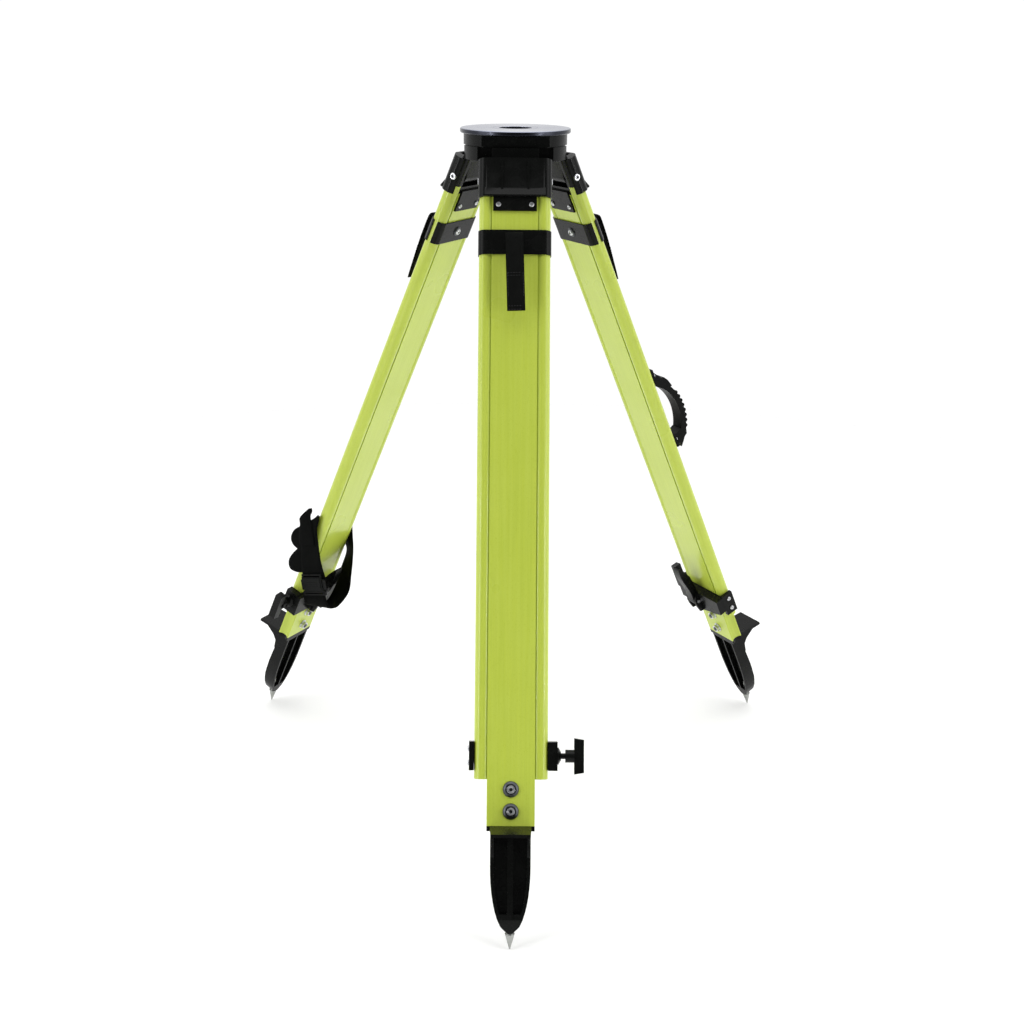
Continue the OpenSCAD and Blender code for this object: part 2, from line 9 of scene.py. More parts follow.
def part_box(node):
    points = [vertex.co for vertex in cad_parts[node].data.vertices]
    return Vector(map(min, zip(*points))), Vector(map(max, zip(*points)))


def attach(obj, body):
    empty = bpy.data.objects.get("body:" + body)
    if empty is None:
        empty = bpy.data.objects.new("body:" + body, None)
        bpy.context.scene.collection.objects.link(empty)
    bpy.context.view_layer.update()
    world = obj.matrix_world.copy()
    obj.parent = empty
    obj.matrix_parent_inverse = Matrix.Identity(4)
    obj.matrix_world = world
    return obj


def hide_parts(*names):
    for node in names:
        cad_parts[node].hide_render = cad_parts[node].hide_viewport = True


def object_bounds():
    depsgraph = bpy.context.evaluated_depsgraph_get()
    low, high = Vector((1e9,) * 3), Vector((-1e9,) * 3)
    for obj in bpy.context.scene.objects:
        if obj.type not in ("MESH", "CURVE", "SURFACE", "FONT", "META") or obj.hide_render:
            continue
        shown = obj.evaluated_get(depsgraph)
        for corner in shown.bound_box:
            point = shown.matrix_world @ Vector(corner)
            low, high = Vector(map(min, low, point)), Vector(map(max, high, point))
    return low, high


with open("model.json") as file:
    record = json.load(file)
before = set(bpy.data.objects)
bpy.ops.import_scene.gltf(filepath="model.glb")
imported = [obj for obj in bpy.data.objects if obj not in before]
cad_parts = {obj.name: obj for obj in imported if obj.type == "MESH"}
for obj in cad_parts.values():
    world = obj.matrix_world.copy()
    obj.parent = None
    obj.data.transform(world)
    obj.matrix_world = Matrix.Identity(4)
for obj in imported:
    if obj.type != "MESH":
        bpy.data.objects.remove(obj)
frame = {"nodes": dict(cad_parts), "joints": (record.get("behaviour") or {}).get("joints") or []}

cad_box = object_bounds()
NODES = frame["nodes"]
JOINTS = {j["name"]: j for j in frame["joints"]}
LEGS = ("front", "left", "right")
MM = 0.001
TURN = 2 * math.pi
HINGE_STATION = 78

# ---------- the legs' own frames: x out of the leg, y across it, z up along it ----------


def leg_matrix(leg):
    """From a leg's frame, in millimetres, to the row frame in metres."""
    up = -Vector(JOINTS[f"{leg}_lower_slide"]["axis"])
    across = -Vector(JOINTS[f"{leg}_leg_hinge"]["axis"])
    out = across.cross(up)
    hinge = Vector(JOINTS[f"{leg}_leg_hinge"]["pos_m"])
    origin = hinge + up * HINGE_STATION * MM
    turn = Matrix((out, across, up)).transposed().to_4x4()
    return Matrix.Translation(origin) @ turn @ Matrix.Scale(MM, 4)


LEG = {leg: leg_matrix(leg) for leg in LEGS}
HEAD = Matrix.Scale(MM, 4)


def station(out, across, down):
    """A point of a leg: millimetres out of it, across it, and down it from its root."""
    return Vector((out, across, -down))


# ---------- node materials ----------


class Shader:
    """A principled material with short calls for the nodes that feed it."""

    def __init__(self, name, rough, metal=0.0, specular=0.5):
        self.material = bpy.data.materials.new(name)
        self.material.use_nodes = True
        self.tree = self.material.node_tree
        self.bsdf = self.tree.nodes["Principled BSDF"]
        self.put("Roughness", rough)
        self.put("Metallic", metal)
        self.put("Specular IOR Level", specular)

    def put(self, socket, value):
        """Sets an input of the principled shader, or links another node's output to it."""
        if isinstance(value, bpy.types.NodeSocket):
            self.tree.links.new(value, self.bsdf.inputs[socket])
        else:
            self.bsdf.inputs[socket].default_value = value

    def node(self, kind, **settings):
        """A new node with these settings."""
        made = self.tree.nodes.new(kind)
        for key, value in settings.items():
            setattr(made, key, value)
        return made

    def feed(self, made, **values):
        """Sets or links a node's inputs, called by name or, as _0 and up, by number."""
        for key, value in values.items():
            socket = made.inputs[int(key[1:])] if key[1:].isdigit() else made.inputs[key]
            if isinstance(value, bpy.types.NodeSocket):
                self.tree.links.new(value, socket)
            else:
                socket.default_value = value
        return made

    def local(self, turn=None, stretch=(1, 1, 1)):
        """Object coordinates in metres, turned into a part's own frame and stretched."""
        where = self.node("ShaderNodeTexCoord").outputs["Object"]
        if turn is not None:
            move = self.node("ShaderNodeMapping")
            inverse = turn.inverted()
            self.feed(move, Vector=where, Rotation=inverse.to_euler(),
                      Location=inverse.translation * MM, Scale=(1, 1, 1))
            where = move.outputs[0]
        spread = self.feed(self.node("ShaderNodeMapping"), Vector=where, Scale=stretch)
        return spread.outputs[0]

    def uv(self):
        """The UV map that ribbon() makes."""
        return self.node("ShaderNodeUVMap", uv_map="UVMap").outputs[0]

    def noise(self, where, scale, detail=3.0, rough=0.55):
        made = self.node("ShaderNodeTexNoise")
        self.feed(made, Vector=where, Scale=scale, Detail=detail, Roughness=rough)
        return made.outputs["Fac"]

    def maths(self, operation, a, b=0.0, c=0.0):
        made = self.node("ShaderNodeMath", operation=operation)
        return self.feed(made, _0=a, _1=b, _2=c).outputs[0]

    def remap(self, value, low, high, start=0.3, end=0.7):
        """Spreads a value between start and end over low to high, clamped."""
        made = self.node("ShaderNodeMapRange")
        self.feed(made, Value=value, _1=start, _2=end, _3=low, _4=high)
        return made.outputs[0]

    def mix(self, factor, a, b):
        made = self.node("ShaderNodeMix", data_type="RGBA")
        return self.feed(made, _0=factor, _6=colour(a), _7=colour(b)).outputs[2]

    def bump(self, height, depth, under=None):
        """A normal for a height map of this depth in metres, over another normal."""
        made = self.feed(self.node("ShaderNodeBump"), Height=height, Distance=depth, Strength=1.0)
        if under is not None:
            self.feed(made, Normal=under)
        return made.outputs[0]

    def axis(self, where, index):
        parts = self.feed(self.node("ShaderNodeSeparateXYZ"), Vector=where)
        return parts.outputs[index]


def colour(value):
    """A plain red, green, blue with its alpha added; anything else as it is."""
    return (*value, 1) if isinstance(value, tuple) and len(value) == 3 else value


def fibreglass(leg):
    """Yellow-green pultruded fibreglass: fibres along the leg under a glossy gel coat."""
    m = Shader(f"{leg}_fibreglass", 0.30, specular=0.30)
    fibres = m.noise(m.local(LEG[leg], (900, 900, 16)), 1.0, 4.0, 0.6)
    strands = m.noise(m.local(LEG[leg], (260, 260, 5)), 1.0, 2.0)
    speckle = m.noise(m.local(LEG[leg], (620, 620, 420)), 1.0, 2.0, 0.7)
    cloud = m.noise(m.local(LEG[leg]), 9.0, 2.0)
    base = m.mix(m.remap(strands, 0.0, 1.0, 0.35, 0.65),
                 (0.445, 0.540, 0.066), (0.475, 0.570, 0.078))
    base = m.mix(m.remap(fibres, 0.0, 0.55, 0.45, 0.8), base, (0.52, 0.61, 0.065))
    base = m.mix(m.remap(speckle, 0.0, 0.5, 0.55, 0.8), base, (0.33, 0.42, 0.018))
    base = m.mix(m.remap(cloud, 0.0, 0.16, 0.35, 0.7), base, (0.385, 0.48, 0.018))
    m.put("Base Color", base)
    m.put("Roughness", m.remap(cloud, 0.26, 0.36))
    m.put("Coat Weight", 0.35)
    m.put("Coat Roughness", 0.12)
    skin = m.bump(fibres, 0.00006)
    m.put("Normal", m.bump(speckle, 0.00005, skin))
    return m.material


def black_coat(name, tone, rough, grain, depth, specular):
    """Black moulded or powder-coated surface: fine pebbled skin with scuffed, paler patches."""
    m = Shader(name, rough, specular=specular)
    where = m.local()
    pebble = m.noise(where, grain, 3.0, 0.6)
    broad = m.noise(where, 45.0, 4.0, 0.65)
    scuff = m.noise(m.local(None, (1, 1, 0.3)), 420.0, 5.0, 0.75)
    dark = tuple(c * 0.72 for c in tone)
    pale = tuple(c * 2.1 for c in tone)
    base = m.mix(m.remap(broad, 0.0, 1.0), dark, tone)
    base = m.mix(m.remap(scuff, 0.0, 0.5, 0.62, 0.85), base, pale)
    m.put("Base Color", base)
    m.put("Roughness", m.remap(broad, rough - 0.07, rough + 0.08))
    m.put("Normal", m.bump(pebble, depth))
    return m.material


def zinc(name, tone, rough):
    """Zinc-plated steel: faint clouding and fine machining grain."""
    m = Shader(name, rough, metal=1.0)
    where = m.local()
    cloud = m.noise(where, 160.0, 4.0, 0.6)
    grain = m.noise(m.local(None, (1, 1, 6)), 900.0, 3.0, 0.7)
    base = m.mix(m.remap(cloud, 0.0, 1.0), tuple(c * 0.84 for c in tone), tone)
    m.put("Base Color", base)
    m.put("Roughness", m.remap(cloud, rough - 0.08, rough + 0.12))
    m.put("Normal", m.bump(grain, 0.00002))
    return m.material


def turned_aluminium():
    """Face-turned aluminium: fine concentric tool marks and a few broader bands, with a painted
    dark reflection on the rim.
    """
    m = Shader("turned_aluminium", 0.26, metal=1.0)
    where = m.local()
    x, y = m.axis(where, 0), m.axis(where, 1)
    radius = m.maths("SQRT", m.maths("ADD", m.maths("MULTIPLY", x, x), m.maths("MULTIPLY", y, y)))
    ring = m.node("ShaderNodeCombineXYZ")
    m.feed(ring, _0=radius, _1=0.37, _2=0.11)
    marks = m.noise(ring.outputs[0], 2600.0, 3.0, 0.7)
    bands = m.noise(ring.outputs[0], 170.0, 3.0, 0.6)
    spots = m.noise(where, 55.0, 3.0)
    base = m.mix(m.remap(bands, 0.0, 1.0), (0.235, 0.25, 0.315), (0.30, 0.315, 0.385))
    base = m.mix(m.remap(spots, 0.0, 0.35), base, (0.21, 0.225, 0.28))
    # painted reflection: below the top face the rim gets a near-black base standing in for the dark
    # surroundings it would reflect; its glints come from the strip lamps
    face = m.remap(m.axis(where, 2), 0.0, 1.0, -0.0011, -0.0005)
    base = m.mix(face, (0.034, 0.036, 0.046), base)
    m.put("Base Color", base)
    m.put("Anisotropic", 0.6)
    around = m.node("ShaderNodeTangent", direction_type="RADIAL", axis="Z")
    m.put("Tangent", around.outputs[0])
    m.put("Roughness", m.remap(marks, 0.14, 0.28))
    m.put("Normal", m.bump(marks, 0.00003))
    return m.material


RIB_PITCH = 0.0016
YARN_PITCH = 0.0011


def webbing(name, tone, edge_from):
    """Flat woven nylon webbing: lengthwise ribs crossed by picks, with a tighter selvedge.
    The UV map is in metres, across and along the webbing."""
    m = Shader(name, 0.62, specular=0.03)
    where = m.uv()
    across, along = m.axis(where, 0), m.axis(where, 1)
    rib = m.maths("SINE", m.maths("MULTIPLY", across, TURN / RIB_PITCH))
    pick = m.maths("SINE", m.maths("MULTIPLY", along, TURN / YARN_PITCH))
    slant = m.maths("MULTIPLY", m.maths("ADD", across, along), TURN / (RIB_PITCH * 1.3))
    twill = m.maths("MULTIPLY", m.maths("SINE", slant), 0.35)
    weave = m.maths("ADD", m.maths("MULTIPLY", rib, pick), twill)
    fuzz = m.noise(m.local(), 1500.0, 3.0, 0.8)
    wear = m.noise(m.local(), 70.0, 3.0)
    selvedge = m.remap(m.maths("ABSOLUTE", across), 0.0, 1.0, edge_from, edge_from + 0.0006)
    low = tuple(c * 0.45 for c in tone)
    high = tuple(c * 1.9 for c in tone)
    base = m.mix(m.remap(weave, 0.0, 1.0, -1.0, 1.0), low, high)
    base = m.mix(m.remap(wear, 0.0, 0.35), base, tuple(c * 2.4 for c in tone))
    base = m.mix(m.maths("MULTIPLY", selvedge, 0.5), base, low)
    m.put("Base Color", base)
    m.put("Sheen Weight", 0.006)
    m.put("Sheen Roughness", 0.5)
    rough = m.bump(fuzz, 0.00010)
    m.put("Normal", m.bump(weave, 0.00022, rough))
    return m.material


def thread_material():
    """Black bonded thread, with its twist."""
    m = Shader("stitching_thread", 0.55, specular=0.3)
    twist = m.noise(m.local(), 2200.0, 2.0)
    m.put("Base Color", m.mix(m.remap(twist, 0.0, 1.0), (0.012, 0.012, 0.013), (0.05, 0.05, 0.052)))
    m.put("Normal", m.bump(twist, 0.0001))
    return m.material


# ---------- building meshes ----------

BEVEL_FROM = math.radians(32)
FLAT_WITHIN = math.radians(0.6)
CREASE_FROM = math.radians(38)
WELD_GAP = 0.00001


def make_object(name, bm, matrix, material):
    """Turns a bmesh, in millimetres in a part's own frame, into an object in the row frame."""
    bmesh.ops.recalc_face_normals(bm, faces=bm.faces)
    bm.transform(matrix)
    mesh = bpy.data.meshes.new(name)
    bm.to_mesh(mesh)
    bm.free()
    for face in mesh.polygons:
        face.use_smooth = True
    mesh.materials.append(material)
    made = bpy.data.objects.new(name, mesh)
    bpy.context.scene.collection.objects.link(made)
    return made


def even_shading(obj, weight, keep_sharp=False):
    """Shades flat faces flat, so that only the rounding between them curves."""
    shade = obj.modifiers.new("shading", "WEIGHTED_NORMAL")
    shade.weight = weight
    shade.keep_sharp = keep_sharp


def soften(obj, width, segments=2):
    """Rounds an object's sharp edges by a width in millimetres."""
    bevel = obj.modifiers.new("edges", "BEVEL")
    bevel.width = width * MM
    bevel.segments = segments
    bevel.limit_method = "ANGLE"
    bevel.angle_limit = BEVEL_FROM
    bevel.use_clamp_overlap = True
    bevel.miter_outer = "MITER_ARC"
    even_shading(obj, 80)


def refine_node(name, material, width):
    """Gives a CAD part rounded edges, smooth curved faces and its finish."""
    node = NODES[name]
    node.data.materials.clear()
    node.data.materials.append(material)
    for face in node.data.polygons:
        face.use_smooth = True
        face.material_index = 0
    weld = node.modifiers.new("weld", "WELD")
    weld.merge_threshold = WELD_GAP
    merge = node.modifiers.new("flats", "DECIMATE")
    merge.decimate_type = "DISSOLVE"
    merge.angle_limit = FLAT_WITHIN
    soften(node, width)


def lathe(profile, segments=96, reach=None):
    """A closed profile of (radius, height) turned about Z. reach(radius, height, angle) may
    change the radius and height of each point."""
    bm = bmesh.new()
    rings = []
    for k in range(segments):
        angle = TURN * k / segments
        ring = []
        for radius, height in profile:
            r, z = reach(radius, height, angle) if reach else (radius, height)
            ring.append(bm.verts.new((r * math.cos(angle), r * math.sin(angle), z)))
        rings.append(ring)
    for k in range(segments):
        here, there = rings[k], rings[(k + 1) % segments]
        for j in range(len(profile)):
            n = (j + 1) % len(profile)
            bm.faces.new((here[j], there[j], there[n], here[n]))
    return bm


def smooth_stations(stations, steps):
    """Evenly eased points through given pairs of edge points, as Catmull-Rom curves."""
    out = []
    last = len(stations) - 1
    for k in range(last):
        four = [stations[max(0, min(last, k + d))] for d in (-1, 0, 1, 2)]
        for step in range(steps):
            u = step / steps
            pair = []
            for edge in (0, 1):
                p0, p1, p2, p3 = (Vector(f[edge]) for f in four)
                pair.append(0.5 * ((2 * p1) + (p2 - p0) * u
                                   + (2 * p0 - 5 * p1 + 4 * p2 - p3) * u * u
                                   + (3 * p1 - p0 - 3 * p2 + p3) * u ** 3))
            out.append(pair)
    out.append([Vector(stations[-1][0]), Vector(stations[-1][1])])
    return out


EDGE_THINNING = 0.7
EDGE_POWER = 6
RIPPLE_ALONG = 0.11
RIPPLE_ACROSS = 2.4


def ribbon(stations, thick, across=8, steps=6, cup=0.0, roll=0.0):
    """A strip of webbing through pairs of edge points, with its thickness and rounded edges.
    Its UV map is metres across and along. cup bows it across its width; roll ripples it."""
    rows = smooth_stations(stations, steps)
    bm = bmesh.new()
    uv = bm.loops.layers.uv.new("UVMap")
    sides = {1: [], -1: []}
    lengths = [0.0]
    middles = [(a + b) / 2 for a, b in rows]
    for k in range(1, len(rows)):
        lengths.append(lengths[-1] + (middles[k] - middles[k - 1]).length)
    for k, (a, b) in enumerate(rows):
        ahead = middles[min(k + 1, len(rows) - 1)] - middles[max(k - 1, 0)]
        normal = (b - a).cross(ahead).normalized()
        width = (b - a).length
        for side in (1, -1):
            row = []
            for j in range(across + 1):
                u = j / across
                edge = 1 - abs(2 * u - 1) ** EDGE_POWER * EDGE_THINNING
                bow = cup * (1 - (2 * u - 1) ** 2)
                wave = roll * math.sin(lengths[k] * RIPPLE_ALONG + u * RIPPLE_ACROSS)
                point = a.lerp(b, u) + normal * (side * thick / 2 * edge + bow + wave)
                row.append((bm.verts.new(point), (u - 0.5) * width * MM, lengths[k] * MM))
            sides[side].append(row)

    def face(corners):
        made = bm.faces.new([c[0] for c in corners])
        for loop, corner in zip(made.loops, corners):
            loop[uv].uv = corner[1:]

    for side in (1, -1):
        here = sides[side]
        for k in range(len(here) - 1):
            for j in range(across):
                quad = [here[k][j], here[k][j + 1], here[k + 1][j + 1], here[k + 1][j]]
                face(quad if side > 0 else quad[::-1])
    top, low = sides[1], sides[-1]
    for k in range(len(top) - 1):
        for j in (0, across):
            quad = [top[k][j], top[k + 1][j], low[k + 1][j], low[k][j]]
            face(quad if j == 0 else quad[::-1])
    for k in (0, len(top) - 1):
        for j in range(across):
            quad = [top[k][j], low[k][j], low[k][j + 1], top[k][j + 1]]
            face(quad if k == 0 else quad[::-1])
    return bm, lengths[-1] * MM


STITCH = 2.6
STITCH_GAP = 1.3
STITCH_RADIUS = 0.32
STITCH_SIDES = 6
STITCH_RINGS = ((0.0, 0.35), (0.25, 0.9), (0.75, 0.9), (1.0, 0.35))
STITCH_PROUD = 0.12
STITCH_SUNK = -0.1


def stitches(name, lines, matrix, material):
    """Rows of sewn stitches, each a small rounded bar, along straight lines given by two ends
    and the direction out of the cloth."""
    bm = bmesh.new()
    for start, end, out in lines:
        start, end, out = Vector(start), Vector(end), Vector(out).normalized()
        way = end - start
        count = max(1, int(way.length / (STITCH + STITCH_GAP)))
        way.normalize()
        side = way.cross(out).normalized()
        for k in range(count):
            first = start + way * (k * (STITCH + STITCH_GAP))
            rings = []
            for along, scale in STITCH_RINGS:
                lift = STITCH_PROUD if 0 < along < 1 else STITCH_SUNK
                centre = first + way * STITCH * along + out * lift
                ring = []
                for i in range(STITCH_SIDES):
                    a = TURN * i / STITCH_SIDES
                    spoke = (side * math.cos(a) + out * math.sin(a)) * STITCH_RADIUS * scale
                    ring.append(bm.verts.new(centre + spoke))
                rings.append(ring)
            for one, two in zip(rings, rings[1:]):
                for i in range(STITCH_SIDES):
                    j = (i + 1) % STITCH_SIDES
                    bm.faces.new((one[i], one[j], two[j], two[i]))
            bm.faces.new(rings[0][::-1])
            bm.faces.new(rings[-1])
    return make_object(name, bm, matrix, material)


def bars(pieces):
    """Boxes, each given by its lowest and highest corner, as one mesh."""
    bm = bmesh.new()
    for low, high in pieces:
        centre = (Vector(low) + Vector(high)) / 2
        size = Vector(high) - Vector(low)
        spot = Matrix.Translation(centre) @ Matrix.Diagonal((*size, 1))
        bmesh.ops.create_cube(bm, size=1.0, matrix=spot)
    return bm


# ---------- the finishes ----------

ALUMINIUM = turned_aluminium()
CASTING = black_coat("powder_coat", (0.0040, 0.0044, 0.0040), 0.25, 1150.0, 0.00005, 0.12)
POLYMER = black_coat("moulded_nylon", (0.0044, 0.0048, 0.0044), 0.25, 1900.0, 0.00003, 0.12)
PAINTED = black_coat("painted_steel", (0.004, 0.004, 0.004), 0.36, 700.0, 0.00002, 0.10)
RUBBER = black_coat("grip_rubber", (0.0032, 0.0036, 0.0032), 0.42, 2400.0, 0.00003, 0.08)
BUCKLE = black_coat("buckle_nylon", (0.0052, 0.0058, 0.0054), 0.34, 1600.0, 0.00003, 0.09)
ZINC = zinc("zinc_plate", (0.66, 0.67, 0.69), 0.30)
BOLTS = zinc("dark_zinc", (0.085, 0.090, 0.098), 0.34)
# painted shade: a near-black steel for the plugs in the bottoms of the hex sockets, which are dark
# only from shade
SOCKET_SHADE = zinc("painted_socket_shade", (0.030, 0.032, 0.034), 0.42)
SPIKES = zinc("ground_steel", (0.42, 0.43, 0.41), 0.32)
BELT = webbing("black_webbing", (0.0034, 0.0037, 0.0034), 0.0115)
STRAP = webbing("strap_webbing", (0.0022, 0.0024, 0.0022), 0.0175)
THREAD = thread_material()
GLASS = {leg: fibreglass(leg) for leg in LEGS}


def finish_of(name):
    """The finish and edge rounding, in millimetres, of a CAD part."""
    leg = name.split("_")[0]
    part = name[len(leg) + 1:] if leg in LEGS else name
    if part in ("rails", "spacer", "lower_leg"):
        return GLASS[leg], 0.5
    if part == "foot_bolts":
        return BOLTS, 0.5
    if part == "spike":
        return SPIKES, 0.35
    if part in ("screws", "band_bolt", "cam_pin", "hinge_pins", "arm_bolt", "slot_bush",
                "screw_washer", "fixing_stud"):
        return ZINC, 0.3
    if part in ("head_body", "foot"):
        return CASTING, 1.0
    if part == "swing_arm":
        return PAINTED, 0.5
    if part == "carry_handle":
        return RUBBER, 1.1
    return POLYMER, 0.9


# ---------- head plate and fixing screw ----------

PLATE_THICK = 7.0
BORE = 24.5
THREAD_PITCH = 25.4 / 11
THREAD_CREST = 7.94
THREAD_DEPTH = 1.25
THREAD_FLAT = 0.12
THREAD_TOP = -10.3
THREAD_STEP = 0.33
THREAD_STEPS = 40


def make_head_plate():
    """The flat machined head: chamfered rim, bore, and the groove round the instrument's seat."""
    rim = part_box("head_plate")[1][0] / MM
    inner_edge = [(BORE, -6), (BORE, -0.7), (BORE + 0.25, -0.2), (BORE + 0.8, 0)]
    groove = [(32.4, 0), (32.7, -0.1), (32.95, -0.55), (33.6, -0.55), (33.85, -0.1), (34.2, 0)]
    outer_edge = [(rim - 1.5, 0), (rim - 1.1, -0.06), (rim - 0.25, -0.75), (rim - 0.06, -1.05),
                  (rim, -1.4), (rim, -5.4), (rim - 0.2, -5.8), (rim - 1.1, -6.7)]
    under = [(rim - 1.5, -PLATE_THICK), (33, -PLATE_THICK), (33, -6)]
    profile = inner_edge + groove + [(58.0, 0)] + outer_edge + under
    plate = make_object("turned_head_plate", lathe(profile, 192), HEAD, ALUMINIUM)
    even_shading(plate, 80)
    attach(plate, "head")
    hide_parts("head_plate")


def make_fixing_stud():
    """The fixing screw, with its real 11-per-inch right-handed thread."""

    def groove(radius, height, angle):
        if radius < THREAD_CREST or height >= THREAD_TOP:
            return radius, height
        phase = (height / THREAD_PITCH - angle / TURN) % 1
        cut = min(1.0, max(0.0, (abs(2 * phase - 1) - THREAD_FLAT) / (1 - 2 * THREAD_FLAT)))
        return THREAD_CREST - THREAD_DEPTH * cut, height

    thread = [(THREAD_CREST, THREAD_TOP - THREAD_STEP * k) for k in range(THREAD_STEPS)]
    profile = [(0.01, -9), (6.0, -9), (6.9, -9.3), (7.6, -9.9)] + thread + [
        (7.9, -24), (5.0, -24.3), (5.0, -61.8), (0.01, -62)]
    stud = make_object("threaded_stud", lathe(profile, 72, groove), HEAD, ZINC)
    even_shading(stud, 60)
    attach(stud, "fixing_screw")
    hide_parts("fixing_stud")


# ---------- hanging tabs: paths of (out, down), over the top and down to the hem ----------

TAB_WIDTH = 26
TAB_THICK = 1.5
LINING_THICK = 1.4
TAB_PATH = [(23.2, 207), (24.4, 213.4), (27.4, 213.2), (28.9, 206), (29.6, 190), (29.9, 176),
            (31.4, 166), (34.2, 163.6), (36.4, 168), (36.9, 178), (36.8, 190), (36.4, 206),
            (34.6, 232), (32.7, 258), (31.4, 272), (30.9, 276.4)]
TAB_INNER = [(36.1, 168.5), (35.1, 176), (34.9, 190), (34.0, 206), (32.4, 232), (31.2, 247)]
TAB_TOP = 165
TAB_SKEW = 1.9
HEM_ROWS = (269.5, 274.5)
LAP_ROWS = (222, 226)
SEAM_INSET = 2


def make_hang_tab(leg):
    """Webbing tab: anchored under the band, doubled over at the top, its end hemmed."""
    swing = (Matrix.Translation(station(0, -1, TAB_TOP))
             @ Matrix.Rotation(math.radians(TAB_SKEW), 4, "X")
             @ Matrix.Translation(-station(0, 0, TAB_TOP)))
    where = LEG[leg] @ swing
    half = TAB_WIDTH / 2
    seam = half - SEAM_INSET

    def strip(path):
        return [(station(n, -half, s), station(n, half, s)) for n, s in path]

    bm, long = ribbon(strip(TAB_PATH), TAB_THICK, cup=0.35)
    outer = make_object(f"{leg}_tab_webbing", bm, where, BELT)
    bm, short = ribbon(strip(TAB_INNER), LINING_THICK)
    inner = make_object(f"{leg}_tab_lining", bm, where, BELT)
    outward = (1, 0, 0.08)
    hem = []
    # each row lies on the webbing's outer face, whose distance out changes down the tab
    for s in HEM_ROWS:
        n = 31.9 + (272 - s) * 0.075 + 0.75
        hem.append((station(n, -seam, s), station(n, seam, s), outward))
    for t in (-seam, seam):
        hem.append((station(36.9, t, 222), station(33.4, t, 259), outward))
    for s in LAP_ROWS:
        n = 36.1 + (222 - s) * 0.07
        hem.append((station(n, -seam, s), station(n, seam, s), outward))
    sewn = stitches(f"{leg}_tab_stitches", hem, where, THREAD)
    for piece in (outer, inner, sewn):
        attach(piece, f"{leg}_leg")
    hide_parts(f"{leg}_hang_tab")


# ---------- shoulder strap: the two edge points of each ribbon, as out, across and down ----------

STRAP_THICK = 1.6
STRAP_LOOP = [
    ((-52, 58.6, 824), (-14, 58.6, 853)), ((-46, 58.8, 816), (-8, 58.8, 845)),
    ((-42, 59.8, 811), (-4.5, 59.8, 840)), ((-30, 60.4, 795), (6.3, 60.6, 819)),
    ((-16, 60.9, 772), (14.6, 60.9, 798)), ((-2, 60.6, 747), (25.3, 60.8, 777)),
    ((1, 60.2, 730), (28, 60.6, 763)),
    ((5, 58.6, 722), (27.5, 59, 757)), ((11, 53.5, 727), (20, 54, 765)),
    ((13.6, 40, 735), (13.6, 40, 772)), ((13.2, 0, 738), (13.2, 0, 775)),
    ((13.6, -40, 742), (13.6, -40, 779)), ((10, -51.5, 747), (17, -51.5, 783)),
    ((3, -55.5, 762), (21, -55.5, 795)), ((-16, -45, 784), (4, -56, 812)),
    ((-38.8, -27, 801), (-13.5, -51, 824)), ((-58, -14, 834), (-25, -34, 850)),
    ((-70.8, -5, 862), (-35, -18.8, 873)), ((-75, 21, 880), (-43, 5, 895)),
    ((-75, 42, 878), (-40, 24, 898)), ((-74, 54, 871), (-33, 52, 896)),
    ((-69, 59.4, 860), (-28, 59.4, 887)), ((-60, 60, 846), (-20, 60, 874))]
FOLD_OUTER = [
    ((-14, 58.2, 786), (20, 58.2, 806)), ((0, 58.4, 776), (33, 58.9, 803)),
    ((7, 58.5, 762), (41, 59.3, 793)), ((7, 58.5, 748), (40, 59.3, 776)),
    ((4, 58.5, 736), (29, 58.9, 759)), ((2, 57.2, 730), (24, 57.2, 754)),
    ((4, 56.2, 744), (30, 56.2, 768)), ((0, 56.2, 764), (34, 56.6, 787)),
    ((-6, 56.2, 784), (28, 56.6, 806))]
FOLD_LOOP = [
    ((-10, 57.2, 776), (18, 57.3, 797)), ((-4, 57.2, 797), (27, 57.6, 818)),
    ((-3, 57.2, 813), (30, 57.8, 837)), ((-10, 57.2, 826), (22, 57.6, 850)),
    ((-24, 57.2, 824), (7, 57.4, 848)), ((-38, 57.2, 813), (-8, 57.2, 838))]
TAIL = [
    ((21, 62.6, 715), (26, 63.2, 719)), ((18, 62.4, 721), (32, 64.2, 733)),
    ((18, 62, 731), (35.5, 64.4, 746)), ((10, 61.8, 744), (31.5, 63, 757)),
    ((0, 61.9, 760), (27, 62.3, 776)), ((-10, 62, 776), (20, 62.2, 792))]


def make_strap():
    """The shoulder strap: a loop of webbing hung round the leg, with its spare length folded
    beside it and its loose tail on top."""
    parts = {}
    for name, route, cup, roll in (("strap_round_leg", STRAP_LOOP, 0.3, 0.15),
                                   ("strap_folded_end", FOLD_OUTER, 0.2, 0.1),
                                   ("strap_spare_loop", FOLD_LOOP, 0.2, 0.1),
                                   ("strap_tail", TAIL, 0.5, 0.1)):
        stations = [(station(*a), station(*b)) for a, b in route]
        bm, long = ribbon(stations, STRAP_THICK, across=10, steps=7, cup=cup, roll=roll)
        area = sum(f.calc_area() for f in bm.faces) / 2
        parts[name] = make_object(name, bm, LEG["left"], STRAP)
        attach(parts[name], "left_leg")
    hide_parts("shoulder_strap")


BUCKLE_AT = (-33.7, 61, 845)
BUCKLE_TURN = 35.6


